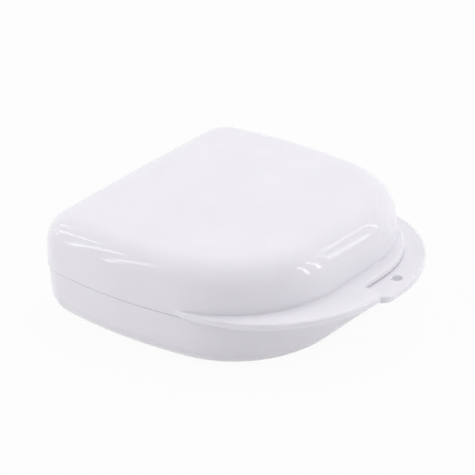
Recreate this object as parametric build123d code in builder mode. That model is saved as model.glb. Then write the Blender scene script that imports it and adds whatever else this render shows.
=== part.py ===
"""A hinged denture and retainer case in moulded polypropylene.

Two half shells of nearly equal height meet at a level parting plane. Seen from above the body is straight
along the hinge, bowed at the sides and rounded at the front, where a half-round thumb tab stands out: its left
half belongs to the lid and its right half, with the cord hole, to the base. Two knuckle hinges, each on its own
steel pin, join the shells at the back.

Millimetres, +Z up, +Y towards the hinge. The origin is on the table, under the middle of the whole case.
"""

from build123d import *
import os
from math import atan2, degrees, radians, sqrt, tan

# ---------------------------------------------------------------- driving dimensions: body
BODY_WIDTH = 78.0  # across the widest place of the base, at the parting plane
BODY_DEPTH = 72.4  # back wall to front wall, at the parting plane
WIDEST_SETBACK = 28.0  # from the back wall to the widest place
REAR_CORNER_RADIUS = 9.5
SIDE_BOW_RADIUS = 130.0
FRONT_CORNER_RADIUS = 29.5

BASE_HEIGHT = 14.3  # table to parting plane
LID_HEIGHT = 14.1  # parting plane to the middle of the lid's top
PARTING_GAP = 0.1  # free height between the closed shells
LID_OVERHANG = 0.25  # how far the lid's edge stands out past the base's
WALL = 1.8
FLOOR = 1.8
DRAFT = 2.0  # degrees, on every wall
BASE_EDGE_RADIUS = 8.0  # outside, round the foot of the base
LID_EDGE_RADIUS = 7.6  # outside, round the top of the lid
LID_CROWN = 0.6  # rise of the lid's top from its sides to its middle line
PARTING_EDGE_RADIUS = 0.15  # softened edges along the parting plane

# ---------------------------------------------------------------- driving dimensions: tabs and lip
TAB_SIDE_INSET = 1.0  # how far the sides of the tabs' outline stay inside the body's widest place
TAB_FRONT_FLAT = 7.6  # straight stretch at the front of the tabs
TAB_REACH = 11.2  # front wall to the front of the tabs
TAB_THICKNESS = 1.8
TAB_CORNER_RADIUS = 3.0
TAB_EDGE_RADIUS = 0.5
TAB_SPLIT = 2.0  # how far left of the middle line the two tabs part
LIP_REACH = 4.1  # width of the narrow lip at the very front
BASE_LIP_RADIUS = 29.3
BASE_LIP_SIDE_INSET = 1.3  # how far the sides of the lip's plate stay inside the body's widest place
LID_LIP_RADIUS = 27.0
LID_LIP_SIDE_INSET = 5.2
CORD_HOLE_DIAMETER = 2.8
CORD_HOLE_EDGE = 4.4  # centre of the cord hole to the front of the tab
CORD_HOLE_OFFSET = 8.6  # centre of the cord hole right of the middle line
CORD_HOLE_CHAMFER = 0.2

# ---------------------------------------------------------------- driving dimensions: closure
RABBET_HEIGHT = 1.5  # height of the tongue that stands inside the lid
TONGUE = 0.85  # thickness of that tongue
RABBET_CLEARANCE = 0.15
SNAP_BEAD_RADIUS = 0.3
SNAP_BEAD_LENGTH = 14.0
SNAP_BEAD_RISE = 0.9  # centre of the bead above the parting plane

# ---------------------------------------------------------------- driving dimensions: hinges
PIN_DIAMETER = 1.6
PIN_END_RADIUS = 0.15
PIN_RUNNING_CLEARANCE = 0.05  # radial, in the lid's knuckle
KNUCKLE_RADIUS = 2.2
HINGE_SETBACK = 3.0  # back wall to the pin's axis
HINGE_SPACING = 38.0  # between the middles of the two hinges
LID_KNUCKLE_WIDTH = 8.0
BASE_KNUCKLE_WIDTH = 3.4
KNUCKLE_SIDE_GAP = 0.25
PIN_RECESS = 0.3  # how far a pin's end lies inside its knuckle
BASE_WEB_DEPTH = 6.5  # how far the base's gussets run down the back wall
LID_WEB_HEIGHT = 4.6
WEB_ROOT = 0.9  # how far a web runs into the wall that carries it
WEB_STEP = 2.0  # how far a web starts away from its shell's parting edge

# ---------------------------------------------------------------- driving dimensions: moulding details
FOOT_BAND = 4.0  # width of the band that the case stands on
FOOT_RECESS = 0.5
RECESS_CORNER_RADIUS = 3.0
GATE_DISH_DIAMETER = 6.0
GATE_DISH_DEPTH = 0.4
GATE_NUB_DIAMETER = 1.4
GATE_NUB_HEIGHT = 0.3
EJECTOR_DIAMETER = 5.0
EJECTOR_DEPTH = 0.12
EJECTOR_SPACING_X = 38.0
EJECTOR_SPACING_Y = 32.0

# ---------------------------------------------------------------- worked out from the above
HINGE_REACH = HINGE_SETBACK + KNUCKLE_RADIUS  # back wall to the back of the knuckles
BACK_Y = (BODY_DEPTH + TAB_REACH - HINGE_REACH) / 2  # the back wall, with the origin mid-way along the whole case
FRONT_Y = BACK_Y - BODY_DEPTH
WIDEST_Y = BACK_Y - WIDEST_SETBACK
TAB_FRONT_Y = FRONT_Y - TAB_REACH
TAB_RADIUS = (BODY_WIDTH - TAB_FRONT_FLAT) / 2 - TAB_SIDE_INSET
TAB_Y = TAB_FRONT_Y + TAB_RADIUS
HINGE_Y = BACK_Y + HINGE_SETBACK
HINGE_Z = BASE_HEIGHT + PARTING_GAP / 2
LID_FOOT = BASE_HEIGHT + PARTING_GAP  # the lid's lower edge
CASE_HEIGHT = BASE_HEIGHT + LID_HEIGHT
LID_RISE = CASE_HEIGHT - LID_FOOT
CROWN_RADIUS = (BODY_WIDTH / 2) ** 2 / (2 * LID_CROWN)
CORD_HOLE_Y = TAB_FRONT_Y + CORD_HOLE_EDGE
BORE_RADIUS = PIN_DIAMETER / 2 + PIN_RUNNING_CLEARANCE
EAR_OFFSET = (LID_KNUCKLE_WIDTH + BASE_KNUCKLE_WIDTH) / 2 + KNUCKLE_SIDE_GAP
PIN_LENGTH = LID_KNUCKLE_WIDTH + 2 * (KNUCKLE_SIDE_GAP + BASE_KNUCKLE_WIDTH - PIN_RECESS)
MIDDLE_Y = (BACK_Y + FRONT_Y) / 2
FOOT_INSET = BASE_HEIGHT * tan(radians(DRAFT)) + BASE_EDGE_RADIUS  # outline to the flat of the foot
EJECTOR_SAG = EJECTOR_SPACING_X**2 / (8 * CROWN_RADIUS)  # the crown's fall at the marks
FAR = BODY_WIDTH + BODY_DEPTH  # longer than anything in the case
HAIR = 1e-3
UPRIGHT = (Align.CENTER, Align.CENTER, Align.MIN)  # a cylinder that stands on its location

os.makedirs("parts", exist_ok=True)


def body_outline(inset=0.0):
    """Draws the body's outline from above, moved inwards by inset, as a face of the current sketch."""
    bow_x = BODY_WIDTH / 2 - SIDE_BOW_RADIUS
    rear_y = BACK_Y - REAR_CORNER_RADIUS
    front_y = FRONT_Y + FRONT_CORNER_RADIUS
    rear_x = bow_x + sqrt((SIDE_BOW_RADIUS - REAR_CORNER_RADIUS) ** 2 - (rear_y - WIDEST_Y) ** 2)
    front_x = bow_x + sqrt((SIDE_BOW_RADIUS - FRONT_CORNER_RADIUS) ** 2 - (front_y - WIDEST_Y) ** 2)
    rear_turn = degrees(atan2(rear_y - WIDEST_Y, rear_x - bow_x))
    front_turn = degrees(atan2(front_y - WIDEST_Y, front_x - bow_x))
    with BuildLine() as outline:
        Line((0, FRONT_Y + inset), (front_x, FRONT_Y + inset))
        CenterArc((front_x, front_y), FRONT_CORNER_RADIUS - inset, -90, 90 + front_turn)
        CenterArc((bow_x, WIDEST_Y), SIDE_BOW_RADIUS - inset, front_turn, rear_turn - front_turn)
        CenterArc((rear_x, rear_y), REAR_CORNER_RADIUS - inset, rear_turn, 90 - rear_turn)
        Line((rear_x, BACK_Y - inset), (0, BACK_Y - inset))
        mirror(about=Plane.YZ)
    make_face(outline.edges())


def tab_plate(level, thickness, side):
    """Extrudes one shell's tab from the level given, left (-1) or right (1) of the line where the tabs part."""
    align = (Align.MIN if side > 0 else Align.MAX, Align.CENTER)
    with BuildSketch(Plane.XY.offset(level)) as tab:
        with Locations((0, TAB_Y)):
            SlotCenterToCenter(TAB_FRONT_FLAT, 2 * TAB_RADIUS)
        with Locations((-TAB_SPLIT, TAB_Y)):
            Rectangle(FAR, FAR, align=align, mode=Mode.INTERSECT)
        # Inwards and out again, which rounds the tip whatever edges meet there.
        offset(amount=-TAB_CORNER_RADIUS)
        offset(amount=TAB_CORNER_RADIUS)
    extrude(tab.sketch, amount=thickness)


def lip_plate(level, thickness, radius, side_inset):
    """Extrudes the narrow lip that runs round the front of a shell, from the level given."""
    with BuildSketch(Plane.XY.offset(level)) as lip:
        with Locations((0, FRONT_Y - LIP_REACH + radius)):
            SlotOverall(BODY_WIDTH - 2 * side_inset, 2 * radius)
    extrude(lip.sketch, amount=thickness)


def knuckle(width, wall_y, wall_low, wall_high, bore_radius):
    """Extrudes one hinge knuckle along X about the current location, with a web running into the back wall."""
    with BuildSketch(Plane.YZ) as profile:
        with Locations((HINGE_Y, HINGE_Z)):
            Circle(KNUCKLE_RADIUS)
        with Locations((wall_y, (wall_low + wall_high) / 2)):
            Rectangle(WEB_ROOT, wall_high - wall_low, align=(Align.MAX, Align.CENTER))
        make_hull()
        with Locations((HINGE_Y, HINGE_Z)):
            Circle(bore_radius, mode=Mode.SUBTRACT)
    extrude(profile.sketch, amount=width / 2, both=True)


def ejector_marks(level, depth):
    """Cuts the four shallow discs that the mould's ejector pins leave, from the level given towards +Z or -Z."""
    with BuildSketch(Plane.XY.offset(level)) as marks:
        with Locations((0, MIDDLE_Y)):
            with GridLocations(EJECTOR_SPACING_X, EJECTOR_SPACING_Y, 2, 2):
                Circle(EJECTOR_DIAMETER / 2)
    extrude(marks.sketch, amount=depth, mode=Mode.SUBTRACT)


# ---------------------------------------------------------------- hinge knuckles, on the middle plane
with BuildPart() as base_ear:
    knuckle(BASE_KNUCKLE_WIDTH, BACK_Y, BASE_HEIGHT - BASE_WEB_DEPTH, BASE_HEIGHT - WEB_STEP, PIN_DIAMETER / 2)

with BuildPart() as lid_ear:
    knuckle(LID_KNUCKLE_WIDTH, BACK_Y + LID_OVERHANG, LID_FOOT + WEB_STEP, LID_FOOT + LID_WEB_HEIGHT, BORE_RADIUS)

# ---------------------------------------------------------------- cavities, as solids to take away
with BuildPart() as base_cavity:
    with BuildSketch(Plane.XY.offset(BASE_HEIGHT)):
        body_outline(WALL)
    extrude(amount=-(BASE_HEIGHT - FLOOR), taper=DRAFT)
    fillet(base_cavity.faces().sort_by(Axis.Z)[0].edges(), BASE_EDGE_RADIUS - WALL)
    with BuildSketch(Plane.XY.offset(BASE_HEIGHT)):
        body_outline(WALL)
    extrude(amount=BASE_HEIGHT)

with BuildPart() as lid_cavity:
    with BuildSketch(Plane.XY.offset(LID_FOOT)):
        body_outline(WALL - LID_OVERHANG)
    extrude(amount=LID_RISE, taper=DRAFT)
    with Locations((0, MIDDLE_Y, CASE_HEIGHT - FLOOR - CROWN_RADIUS)):
        Cylinder(CROWN_RADIUS, FAR, rotation=(90, 0, 0), mode=Mode.INTERSECT)
    fillet(lid_cavity.faces().sort_by(Axis.Z)[-1].edges(), LID_EDGE_RADIUS - WALL)
    with BuildSketch(Plane.XY.offset(LID_FOOT)):
        body_outline(WALL - TONGUE - RABBET_CLEARANCE)
    extrude(amount=RABBET_HEIGHT)
    with Locations(Location((0, FRONT_Y + WALL - TONGUE, BASE_HEIGHT + SNAP_BEAD_RISE), (0, 90, 0))):
        Cylinder(SNAP_BEAD_RADIUS + RABBET_CLEARANCE, SNAP_BEAD_LENGTH + 2 * RABBET_CLEARANCE)

# ---------------------------------------------------------------- tabs and lips, with their edges softened
with BuildPart() as base_tab:
    tab_plate(BASE_HEIGHT, -TAB_THICKNESS, side=1)
    fillet(base_tab.edges().filter_by(Plane.XY), TAB_EDGE_RADIUS)

with BuildPart() as base_lip:
    lip_plate(BASE_HEIGHT, -TAB_THICKNESS, BASE_LIP_RADIUS, BASE_LIP_SIDE_INSET)
    fillet(base_lip.edges().filter_by(Plane.XY), TAB_EDGE_RADIUS)

with BuildPart() as lid_tab:
    tab_plate(LID_FOOT, TAB_THICKNESS, side=-1)
    fillet(lid_tab.edges().filter_by(Plane.XY), TAB_EDGE_RADIUS)

with BuildPart() as lid_lip:
    lip_plate(LID_FOOT, TAB_THICKNESS, LID_LIP_RADIUS, LID_LIP_SIDE_INSET)
    fillet(lid_lip.edges().filter_by(Plane.XY), TAB_EDGE_RADIUS)

# ---------------------------------------------------------------- base shell
with BuildPart() as base_shell:
    with BuildSketch(Plane.XY.offset(BASE_HEIGHT)):
        body_outline()
    extrude(amount=-BASE_HEIGHT, taper=DRAFT)
    fillet(base_shell.faces().sort_by(Axis.Z)[0].edges(), BASE_EDGE_RADIUS)
    fillet(base_shell.faces().sort_by(Axis.Z)[-1].edges(), PARTING_EDGE_RADIUS)
    add(base_tab.part)
    add(base_lip.part)
    # The tongue that stands inside the lid, with the snap bead across its front.
    with BuildSketch(Plane.XY.offset(BASE_HEIGHT)):
        body_outline(WALL - TONGUE)
    extrude(amount=RABBET_HEIGHT)
    with Locations(Location((0, FRONT_Y + WALL - TONGUE, BASE_HEIGHT + SNAP_BEAD_RISE), (0, 90, 0))):
        Cylinder(SNAP_BEAD_RADIUS, SNAP_BEAD_LENGTH)
    add(base_cavity.part, mode=Mode.SUBTRACT)
    ejector_marks(FLOOR, -EJECTOR_DEPTH)
    # Two ears at each hinge.
    for hinge_x in (-HINGE_SPACING / 2, HINGE_SPACING / 2):
        with Locations((hinge_x - EAR_OFFSET, 0, 0), (hinge_x + EAR_OFFSET, 0, 0)):
            add(base_ear.part)
    # The cord hole.
    with Locations((CORD_HOLE_OFFSET, CORD_HOLE_Y, BASE_HEIGHT)):
        Hole(CORD_HOLE_DIAMETER / 2, depth=TAB_THICKNESS)
    hole_rims = base_shell.edges().filter_by(GeomType.CIRCLE)
    hole_rims = hole_rims.filter_by(lambda rim: abs(rim.radius - CORD_HOLE_DIAMETER / 2) < HAIR)
    chamfer(hole_rims, CORD_HOLE_CHAMFER)
    # The recess under the foot band, with the gate's dish and nub.
    with BuildSketch() as recess:
        body_outline()
        offset(amount=-(FOOT_INSET + FOOT_BAND))
        fillet(recess.vertices().group_by(Axis.Y)[-1], RECESS_CORNER_RADIUS)
    extrude(amount=FOOT_RECESS, mode=Mode.SUBTRACT)
    with Locations((0, MIDDLE_Y, FOOT_RECESS)):
        Cylinder(GATE_DISH_DIAMETER / 2, GATE_DISH_DEPTH, align=UPRIGHT, mode=Mode.SUBTRACT)
    with Locations((0, MIDDLE_Y, FOOT_RECESS + GATE_DISH_DEPTH - GATE_NUB_HEIGHT)):
        Cylinder(GATE_NUB_DIAMETER / 2, GATE_NUB_HEIGHT, align=UPRIGHT)
base_shell.part.label = "base_shell"
export_step(base_shell.part, "parts/base_shell.step")

# ---------------------------------------------------------------- lid shell
with BuildPart() as lid_shell:
    with BuildSketch(Plane.XY.offset(LID_FOOT)):
        body_outline(-LID_OVERHANG)
    extrude(amount=LID_RISE, taper=DRAFT)
    with Locations((0, MIDDLE_Y, CASE_HEIGHT - CROWN_RADIUS)):
        Cylinder(CROWN_RADIUS, FAR, rotation=(90, 0, 0), mode=Mode.INTERSECT)
    fillet(lid_shell.faces().sort_by(Axis.Z)[-1].edges(), LID_EDGE_RADIUS)
    fillet(lid_shell.faces().sort_by(Axis.Z)[0].edges(), PARTING_EDGE_RADIUS)
    add(lid_tab.part)
    add(lid_lip.part)
    add(lid_cavity.part, mode=Mode.SUBTRACT)
    ejector_marks(CASE_HEIGHT - FLOOR - EJECTOR_SAG, EJECTOR_DEPTH + EJECTOR_SAG)
    for hinge_x in (-HINGE_SPACING / 2, HINGE_SPACING / 2):
        with Locations((hinge_x, 0, 0)):
            add(lid_ear.part)
lid_shell.part.label = "lid_shell"
export_step(lid_shell.part, "parts/lid_shell.step")

# ---------------------------------------------------------------- hinge pins
for side, hinge_x in (("left", -HINGE_SPACING / 2), ("right", HINGE_SPACING / 2)):
    with BuildPart() as hinge_pin:
        with Locations(Location((hinge_x, HINGE_Y, HINGE_Z), (0, 90, 0))):
            Cylinder(PIN_DIAMETER / 2, PIN_LENGTH)
        fillet(hinge_pin.edges().filter_by(GeomType.CIRCLE), PIN_END_RADIUS)
    hinge_pin.part.label = f"hinge_pin_{side}"
    export_step(hinge_pin.part, f"parts/hinge_pin_{side}.step")
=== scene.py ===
# %% [markdown]
# # A hinged denture case in white polypropylene
#
# The object is a small closed case for a denture or retainer. Two thin moulded shells meet at a level
# parting plane, and a half-round thumb tab stands out at the front: its left half belongs to the lid, its
# right half, with a cord hole, to the base. Two knuckle hinges on steel pins join the shells at the back.
#
# Everything is in metres. +Z is up, +Y points to the hinge, and the origin is on the table under the
# middle of the whole case. The imported solids are loaded first, and their boxes give the sizes printed
# below.

# %% Load the frame
import math

import bpy
from mathutils import Matrix, Vector


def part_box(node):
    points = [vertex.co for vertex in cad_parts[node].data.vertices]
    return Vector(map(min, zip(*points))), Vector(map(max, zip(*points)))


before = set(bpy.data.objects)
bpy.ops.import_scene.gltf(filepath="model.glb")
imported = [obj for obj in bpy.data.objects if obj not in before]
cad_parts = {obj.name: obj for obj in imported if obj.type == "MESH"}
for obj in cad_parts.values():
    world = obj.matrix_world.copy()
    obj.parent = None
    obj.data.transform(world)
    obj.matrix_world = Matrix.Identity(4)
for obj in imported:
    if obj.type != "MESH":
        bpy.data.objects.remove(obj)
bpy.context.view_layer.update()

MM = 0.001
for name in sorted(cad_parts):
    low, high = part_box(name)
    print(name, "spans", [round((h - l) / MM, 1) for l, h in zip(low, high)], "mm")

# %% [markdown]
# ## The camera
#
# A small glossy object is usually shot with a long lens from a table's length away, because a long lens
# keeps the near tab from looking swollen. The place is given as a direction from a target inside the case:
# azimuth turns round the case, elevation lifts the camera, and roll tips it a little about its own axis.

# %% Place the camera
VIEW_AZIMUTH = -50.04
VIEW_ELEVATION = 27.13
VIEW_ROLL = -2.46
VIEW_DISTANCE = 0.687
VIEW_TARGET = Vector((0.0067, 0.0090, 0.012))
FOCAL_PIXELS = 2678  # focal length as a number of the picture's own pixels
PICTURE_WIDTH = 475
SENSOR_WIDTH = 36.0  # mm
CLIP_START = 0.01


def look_from(azimuth, elevation, roll):
    """Returns the camera's right, up and backward directions as a rotation matrix."""
    a, e, r = (math.radians(v) for v in (azimuth, elevation, roll))
    back = Vector((math.sin(a) * math.cos(e), -math.cos(a) * math.cos(e), math.sin(e)))
    right = Vector((math.cos(a), math.sin(a), 0))
    up = back.cross(right)
    tilted_right = right * math.cos(r) + up * math.sin(r)
    tilted_up = up * math.cos(r) - right * math.sin(r)
    return Matrix((tilted_right, tilted_up, back)).transposed()


camera = bpy.data.objects.new("product_camera", bpy.data.cameras.new("product_camera"))
bpy.context.scene.collection.objects.link(camera)
camera.data.sensor_width = SENSOR_WIDTH
camera.data.lens = FOCAL_PIXELS / PICTURE_WIDTH * SENSOR_WIDTH
camera.data.clip_start = CLIP_START
turn = look_from(VIEW_AZIMUTH, VIEW_ELEVATION, VIEW_ROLL)
camera.matrix_world = Matrix.Translation(VIEW_TARGET + turn.col[2] * VIEW_DISTANCE) @ turn.to_4x4()
bpy.context.scene.camera = camera
bpy.context.scene.view_settings.view_transform = "Standard"
print("lens", round(camera.data.lens, 1), "mm")

# %% [markdown]
# ## Node materials
#
# Every finish here is a small node tree. Each one starts empty, so that only the nodes a finish needs are
# in it. One helper makes the empty tree and hands back short names for adding and joining nodes.

# %% A helper for node materials
def node_material(name):
    """Makes an empty node material and returns it with the calls that add and join its nodes."""
    material = bpy.data.materials.new(name)
    material.use_nodes = True
    material.node_tree.nodes.clear()
    return material, material.node_tree.nodes.new, material.node_tree.links.new


# %% [markdown]
# ## A white ground
#
# A pale product stands on white, yet more light on it would wash out its edges. So the white is painted,
# not lit: rays that come from the camera, or that gloss or glass sends on, see a plain white, and all
# other rays see the real floor and tent. The floor mixes in a little of its lit paper, which keeps the
# case's soft shadow.

# %% White for the rays that look
def white_seen_by_camera(tree, lit_shader, strength, cover):
    """Mixes a shader with plain white for camera, glossy and transmission rays."""
    path = tree.nodes.new("ShaderNodeLightPath")
    seen = path.outputs["Is Camera Ray"]
    for ray in ("Is Glossy Ray", "Is Transmission Ray"):
        either = tree.nodes.new("ShaderNodeMath")
        either.operation = "MAXIMUM"
        tree.links.new(seen, either.inputs[0])
        tree.links.new(path.outputs[ray], either.inputs[1])
        seen = either.outputs[0]
    share = tree.nodes.new("ShaderNodeMath")
    share.operation = "MULTIPLY"
    share.inputs[1].default_value = cover
    tree.links.new(seen, share.inputs[0])
    white = tree.nodes.new("ShaderNodeEmission")
    white.inputs["Strength"].default_value = strength
    mix = tree.nodes.new("ShaderNodeMixShader")
    tree.links.new(share.outputs[0], mix.inputs[0])
    tree.links.new(lit_shader.outputs[0], mix.inputs[1])
    tree.links.new(white.outputs[0], mix.inputs[2])
    return mix


# %% Paper floor
FLOOR_SIZE = 4.0
FLOOR_PAPER = (0.9, 0.9, 0.9, 1)
FLOOR_WHITE = 0.985  # strength of the painted white
FLOOR_COVER = 0.96  # share of the painted white, the rest is lit paper
floor_paper, new_node, link = node_material("white_paper_floor")
paper = new_node("ShaderNodeBsdfDiffuse")
paper.inputs["Color"].default_value = FLOOR_PAPER
surface = white_seen_by_camera(floor_paper.node_tree, paper, FLOOR_WHITE, FLOOR_COVER)
link(surface.outputs[0], new_node("ShaderNodeOutputMaterial").inputs["Surface"])

half = FLOOR_SIZE / 2
corners = [(-half, -half, 0), (half, -half, 0), (half, half, 0), (-half, half, 0)]
floor_mesh = bpy.data.meshes.new("floor")
floor_mesh.from_pydata(corners, [], [(0, 1, 2, 3)])
floor = bpy.data.objects.new("floor", floor_mesh)
bpy.context.scene.collection.objects.link(floor)
floor.data.materials.append(floor_paper)
print("floor", FLOOR_SIZE, "m square")

# %% [markdown]
# ## The light tent
#
# The case stands in a tent of white cloth. An even world stands for the cloth and lights every side. The
# tent is open where the camera looks in, and that side gives less light, so the front walls come out a
# step darker than the top. The opening is made with a dot product: how nearly a direction points to the
# camera's side.

# %% World
TENT_TINT = (0.975, 0.965, 1.0, 1)
TENT_STRENGTH = 0.61
TENT_WHITE = 0.975  # strength of the painted white behind the case
OPENING_STRENGTH = 0.3
OPENING_EDGE = 0.5  # cosine at which the opening starts
OPENING_MIDDLE = 0.92  # cosine from which it is fully open
world = bpy.data.worlds.new("light_tent")
bpy.context.scene.world = world
world.use_nodes = True
world.node_tree.nodes.clear()
new_node, link = world.node_tree.nodes.new, world.node_tree.links.new
cloth = new_node("ShaderNodeBackground")
cloth.inputs["Color"].default_value = TENT_TINT
direction = new_node("ShaderNodeTexCoord")
facing = new_node("ShaderNodeVectorMath")
facing.operation = "DOT_PRODUCT"
facing.inputs[1].default_value = Vector((turn.col[2].x, turn.col[2].y, 0)).normalized()
link(direction.outputs["Generated"], facing.inputs[0])
opening = new_node("ShaderNodeMapRange")
opening.interpolation_type = "SMOOTHSTEP"
opening.inputs["From Min"].default_value = OPENING_EDGE
opening.inputs["From Max"].default_value = OPENING_MIDDLE
opening.inputs["To Min"].default_value = TENT_STRENGTH
opening.inputs["To Max"].default_value = OPENING_STRENGTH
link(facing.outputs["Value"], opening.inputs["Value"])
link(opening.outputs["Result"], cloth.inputs["Strength"])
tent = white_seen_by_camera(world.node_tree, cloth, TENT_WHITE, 1.0)
link(tent.outputs[0], new_node("ShaderNodeOutputWorld").inputs["Surface"])
print("world", TENT_STRENGTH, "and", OPENING_STRENGTH, "at the opening")

# %% [markdown]
# ## Lamps
#
# Three large softboxes shape the case. One hangs high on the side away from the camera and gives the top
# its brightness. One at middle height on the left and one low on the right, as the camera sees them, lift
# the walls there. Their reflections would be broad white patches, so gloss doesn't see them. What gloss
# does see are eight tall narrow strips, four to the left and four to the right. Each draws one thin bright
# line along the lid's rounded edge, and lines side by side tell the eye that the plastic is polished.
#
# The softboxes hang on one dome round the case, and the strips on a slightly smaller one.

# %% A helper for lamps
CASE_MIDDLE = Vector((0, 0, 0.015))


def lamp_on_dome(name, azimuth, elevation, distance, size, power):
    """Hangs a rectangular lamp on a dome round the case, facing its middle.

    azimuth is in degrees from the hinge side (+Y) towards +X. size is the lamp's width and height.
    """
    a, e = math.radians(azimuth), math.radians(elevation)
    outwards = Vector((math.sin(a) * math.cos(e), math.cos(a) * math.cos(e), math.sin(e)))
    lamp = bpy.data.lights.new(name, "AREA")
    lamp.shape = "RECTANGLE"
    lamp.size, lamp.size_y = size
    lamp.energy = power
    holder = bpy.data.objects.new(name, lamp)
    holder.location = CASE_MIDDLE + outwards * distance
    holder.rotation_euler = outwards.to_track_quat("Z", "Y").to_euler()
    bpy.context.scene.collection.objects.link(holder)
    return holder


# %% Softboxes
SOFTBOXES = {  # azimuth and elevation in degrees, distance, width and height in metres, power in watts
    "top_softbox": (84, 64, 0.9, (0.7, 0.7), 2.28),
    "left_softbox": (-56, 34, 0.9, (0.6, 0.4), 1.18),
    "right_softbox": (162, 10, 0.9, (0.6, 0.4), 0.62),
}
for softbox_name, settings in SOFTBOXES.items():
    softbox = lamp_on_dome(softbox_name, *settings)
    softbox.visible_glossy = False
    print(softbox_name, softbox.data.energy, "W")

# %% Strips
STRIP_DISTANCE = 0.8
STRIP_LOW, STRIP_HIGH = 8, 42  # degrees above the table, seen from the case
STRIP_ANGLE = 2.6  # degrees that a strip's width covers
LEFT_STRIPS = {-52: 4, -40.5: 4, -29: 4, -13: 4}  # radiance by azimuth
RIGHT_STRIPS = {122.5: 3.0, 135: 2.9, 151: 6.5, 164.5: 6.5}
strip_elevation = (STRIP_LOW + STRIP_HIGH) / 2
strip_size = (
    2 * STRIP_DISTANCE * math.tan(math.radians(STRIP_ANGLE / 2)),
    2 * STRIP_DISTANCE * math.tan(math.radians((STRIP_HIGH - STRIP_LOW) / 2)),
)
for strip_azimuth, radiance in (LEFT_STRIPS | RIGHT_STRIPS).items():
    strip_power = radiance * math.pi * strip_size[0] * strip_size[1]
    strip_name = f"strip_{strip_azimuth}"
    lamp_on_dome(strip_name, strip_azimuth, strip_elevation, STRIP_DISTANCE, strip_size, strip_power)
print("strips", [round(v, 3) for v in strip_size], "m")

# %% [markdown]
# ## Moulded polypropylene
#
# Polypropylene is a milky plastic. Light enters it a little, so edges glow softly, and a polished mould
# leaves a glossy skin. A plain colour would look like paint, so the tone follows a soft noise: a
# cloudiness about a centimetre wide, which later varies the roughness a little too.

# %% The plastic's cloudy tone
DEEP_TONE = (0.852, 0.838, 0.878, 1)
PALE_TONE = (0.877, 0.863, 0.898, 1)
TONE_STOPS = (0.3, 0.7)  # where on the noise the two tones sit
CLOUD_SCALE = 90.0  # clouds per metre
CLOUD_DETAIL = 3.0


def cloudy_tone(new_node, link, place):
    """Returns the noise behind the cloudiness and the colour that follows it."""
    cloud = new_node("ShaderNodeTexNoise")
    cloud.inputs["Scale"].default_value = CLOUD_SCALE
    cloud.inputs["Detail"].default_value = CLOUD_DETAIL
    link(place.outputs["Object"], cloud.inputs["Vector"])
    tone = new_node("ShaderNodeValToRGB")
    for element, stop, colour in zip(tone.color_ramp.elements, TONE_STOPS, (DEEP_TONE, PALE_TONE)):
        element.position = stop
        element.color = colour
    link(cloud.outputs["Fac"], tone.inputs["Fac"])
    return cloud, tone


# %% [markdown]
# ## Sums on the surface
#
# A finish often needs a little arithmetic on the surface's own numbers, such as how high a spot lies above
# the table. Blender does that with Math and Map Range nodes. Two helpers add one such node each, so that a
# sum of several nodes still reads like a short list.

# %% Helpers for number nodes
def mapped(new_node, link, value, from_range, to_range):
    """Maps a value from one range to another and returns the result."""
    node = new_node("ShaderNodeMapRange")
    for socket, number in zip(("From Min", "From Max", "To Min", "To Max"), from_range + to_range):
        node.inputs[socket].default_value = number
    link(value, node.inputs["Value"])
    return node.outputs["Result"]


def worked_out(new_node, link, operation, first, second=None):
    """Adds a math node of one or two values, which are sockets or numbers, and returns its result."""
    node = new_node("ShaderNodeMath")
    node.operation = operation
    link(first, node.inputs[0])
    if isinstance(second, float):
        node.inputs[1].default_value = second
    elif second:
        link(second, node.inputs[1])
    return node.outputs["Value"]


# %% [markdown]
# ## The painted dark line between the shells
#
# Where lid and base meet, a gap of a tenth of a millimetre swallows light and draws a thin dark line. The
# milky plastic would fill it with scattered light, so this shade is painted: the base colour of the
# rounded edges is darkened. Four masks are multiplied. The first keeps to the gap's height. The second
# keeps off the thumb tabs, between which light comes in from the front. The third keeps to rounded edges,
# so that flat rims stay white. The fourth is ambient occlusion: it tells where the other shell's edge
# stands close, so the painted shade goes when the lid opens.

# %% Painted shade at the gap
PARTING_HEIGHT = 14.35 * MM
RIM_HEIGHT = 0.25 * MM  # how far above and below the gap its edges darken
RIM_FADE = 1.5  # times that height, where the darkening has ended
ROUNDED_EDGE = (0.9, 0.99)  # upward part of the normal: below it an edge is rounded, above it flat
GAP_REACH = 0.5 * MM  # how near the other edge has to be
CLOSED_OFF = (0.25, 0.95)  # ambient occlusion of a closed edge and of an open one
OCCLUSION_SAMPLES = 12
TAB_ROOT = -20 * MM  # where the tabs grow out of the sides, along Y
TAB_ROOT_BLEND = 4 * MM


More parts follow.
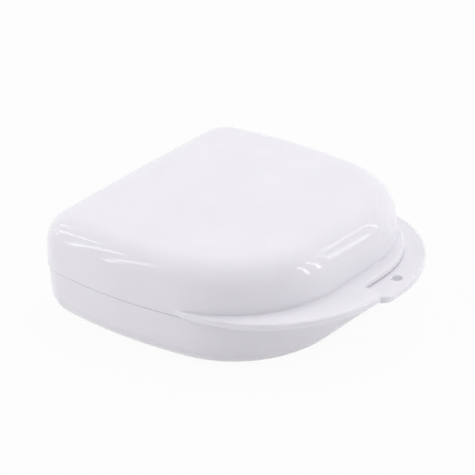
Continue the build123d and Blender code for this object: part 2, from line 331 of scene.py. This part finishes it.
def painted_gap_shade(new_node, link, place):
    """Returns the painted shade at the gap as a colour factor: 1 on open surface, less on the closed gap's
    edges, down to 0.
    """
    spot = new_node("ShaderNodeSeparateXYZ")
    link(place.outputs["Object"], spot.inputs["Vector"])
    from_gap = worked_out(new_node, link, "SUBTRACT", spot.outputs["Z"], PARTING_HEIGHT)
    from_gap = worked_out(new_node, link, "ABSOLUTE", from_gap)
    near_gap = mapped(new_node, link, from_gap, (RIM_HEIGHT, RIM_FADE * RIM_HEIGHT), (1, 0))
    tab_edge = (TAB_ROOT - TAB_ROOT_BLEND, TAB_ROOT + TAB_ROOT_BLEND)
    behind_tabs = mapped(new_node, link, spot.outputs["Y"], tab_edge, (0, 1))

    facing_way = new_node("ShaderNodeSeparateXYZ")
    link(new_node("ShaderNodeNewGeometry").outputs["Normal"], facing_way.inputs["Vector"])
    flatness = worked_out(new_node, link, "ABSOLUTE", facing_way.outputs["Z"])
    rounded = mapped(new_node, link, flatness, ROUNDED_EDGE, (1, 0))

    crevice = new_node("ShaderNodeAmbientOcclusion")
    crevice.samples = OCCLUSION_SAMPLES
    crevice.inputs["Distance"].default_value = GAP_REACH
    closed_off = mapped(new_node, link, crevice.outputs["AO"], CLOSED_OFF, (1, 0))

    # Painted shade: the masks together say how much darker the base colour is made at the gap.
    shade = worked_out(new_node, link, "MULTIPLY", near_gap, behind_tabs)
    shade = worked_out(new_node, link, "MULTIPLY", shade, rounded)
    shade = worked_out(new_node, link, "MULTIPLY", shade, closed_off)
    return mapped(new_node, link, shade, (0, 1), (1, 0))


# %% [markdown]
# ## The finished plastic
#
# The cloudy tone, the painted shade at the gap and a faint ripple now come together in one material. The
# ripple is only a bump of a few millimetres' wavelength: a moulding never shrinks quite evenly as it
# cools, and its highlights waver a little. The scattering is kept shallow, as the walls are under two
# millimetres thick.

# %% The moulding's faint ripple
RIPPLE_SCALE = 260.0  # waves per metre
RIPPLE_DETAIL = 2.0
RIPPLE_STRENGTH = 0.01
RIPPLE_HEIGHT = 0.4 * MM


def rippled_normal(new_node, link, place):
    """Returns a surface normal that wavers very slightly."""
    ripple = new_node("ShaderNodeTexNoise")
    ripple.inputs["Scale"].default_value = RIPPLE_SCALE
    ripple.inputs["Detail"].default_value = RIPPLE_DETAIL
    link(place.outputs["Object"], ripple.inputs["Vector"])
    bump = new_node("ShaderNodeBump")
    bump.inputs["Strength"].default_value = RIPPLE_STRENGTH
    bump.inputs["Distance"].default_value = RIPPLE_HEIGHT
    link(ripple.outputs["Fac"], bump.inputs["Height"])
    return bump.outputs["Normal"]


# %% Moulded polypropylene
SKIN_ROUGHNESS = (0.07, 0.1)  # polished mould
PLASTIC_IOR = 1.49
MILKINESS = 0.12  # share of the light that scatters under the skin
SCATTER_BY_COLOUR = (1.0, 0.95, 0.85)  # red goes a little deeper than blue
SCATTER_DEPTH = 1.2 * MM
MIX_FIRST, MIX_SECOND, MIX_RESULT = 6, 7, 2  # colour sockets by number, since their names repeat


def moulded_polypropylene():
    """Makes the shells' glossy, slightly milky white plastic."""
    material, new_node, link = node_material("moulded_white_polypropylene")
    place = new_node("ShaderNodeTexCoord")
    skin = new_node("ShaderNodeBsdfPrincipled")
    cloud, tone = cloudy_tone(new_node, link, place)
    # Painted shade: the cloudy tone is multiplied by the darkening at the gap between the shells.
    shaded = new_node("ShaderNodeMix")
    shaded.data_type = "RGBA"
    shaded.blend_type = "MULTIPLY"
    shaded.inputs["Factor"].default_value = 1.0
    link(tone.outputs["Color"], shaded.inputs[MIX_FIRST])
    link(painted_gap_shade(new_node, link, place), shaded.inputs[MIX_SECOND])
    link(shaded.outputs[MIX_RESULT], skin.inputs["Base Color"])
    link(mapped(new_node, link, cloud.outputs["Fac"], (0, 1), SKIN_ROUGHNESS), skin.inputs["Roughness"])
    link(rippled_normal(new_node, link, place), skin.inputs["Normal"])

    skin.inputs["IOR"].default_value = PLASTIC_IOR
    skin.inputs["Subsurface Weight"].default_value = MILKINESS
    skin.inputs["Subsurface Radius"].default_value = SCATTER_BY_COLOUR
    skin.inputs["Subsurface Scale"].default_value = SCATTER_DEPTH
    link(skin.outputs[0], new_node("ShaderNodeOutputMaterial").inputs["Surface"])
    return material


# %% [markdown]
# ## Drawn steel wire
#
# The hinge pins are cut from drawn wire. The die leaves fine lines along it, so a noise is stretched along
# the pin (its own X) and varies both the tone and the roughness. Only the pins' ends show, in the base's
# knuckles.

# %% Drawn steel wire
WIRE_TONES = ((0.42, 0.42, 0.43, 1), (0.66, 0.66, 0.67, 1))
WIRE_ROUGHNESS = (0.25, 0.45)
WIRE_STRETCH = (60.0, 4000.0, 4000.0)  # waves per metre along the wire and across it
WIRE_DETAIL = 4.0


def drawn_steel():
    """Makes the pins' steel, with fine lines along X."""
    material, new_node, link = node_material("drawn_steel_wire")
    place = new_node("ShaderNodeTexCoord")
    along = new_node("ShaderNodeMapping")
    along.inputs["Scale"].default_value = WIRE_STRETCH
    link(place.outputs["Object"], along.inputs["Vector"])
    lines = new_node("ShaderNodeTexNoise")
    lines.inputs["Scale"].default_value = 1.0
    lines.inputs["Detail"].default_value = WIRE_DETAIL
    link(along.outputs["Vector"], lines.inputs["Vector"])
    steel = new_node("ShaderNodeBsdfPrincipled")
    steel.inputs["Metallic"].default_value = 1.0
    tone = new_node("ShaderNodeValToRGB")
    for element, colour in zip(tone.color_ramp.elements, WIRE_TONES):
        element.color = colour
    link(lines.outputs["Fac"], tone.inputs["Fac"])
    link(tone.outputs["Color"], steel.inputs["Base Color"])
    link(mapped(new_node, link, lines.outputs["Fac"], (0, 1), WIRE_ROUGHNESS), steel.inputs["Roughness"])
    link(steel.outputs[0], new_node("ShaderNodeOutputMaterial").inputs["Surface"])
    return material


# %% [markdown]
# ## Dressing the pieces
#
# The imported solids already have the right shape, down to the softened edges, so each keeps its own mesh
# and only takes a finish. Both shells come out of the same plastic, and both pins off the same wire.

# %% Give each piece its finish
polypropylene = moulded_polypropylene()
steel_wire = drawn_steel()
FINISHES = {
    "base_shell": polypropylene,
    "lid_shell": polypropylene,
    "hinge_pin_left": steel_wire,
    "hinge_pin_right": steel_wire,
}
for name, finish in FINISHES.items():
    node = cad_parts[name]
    node.data.materials.clear()
    node.data.materials.append(finish)
    print(name, "wears", finish.name, "on", len(node.data.polygons), "faces")
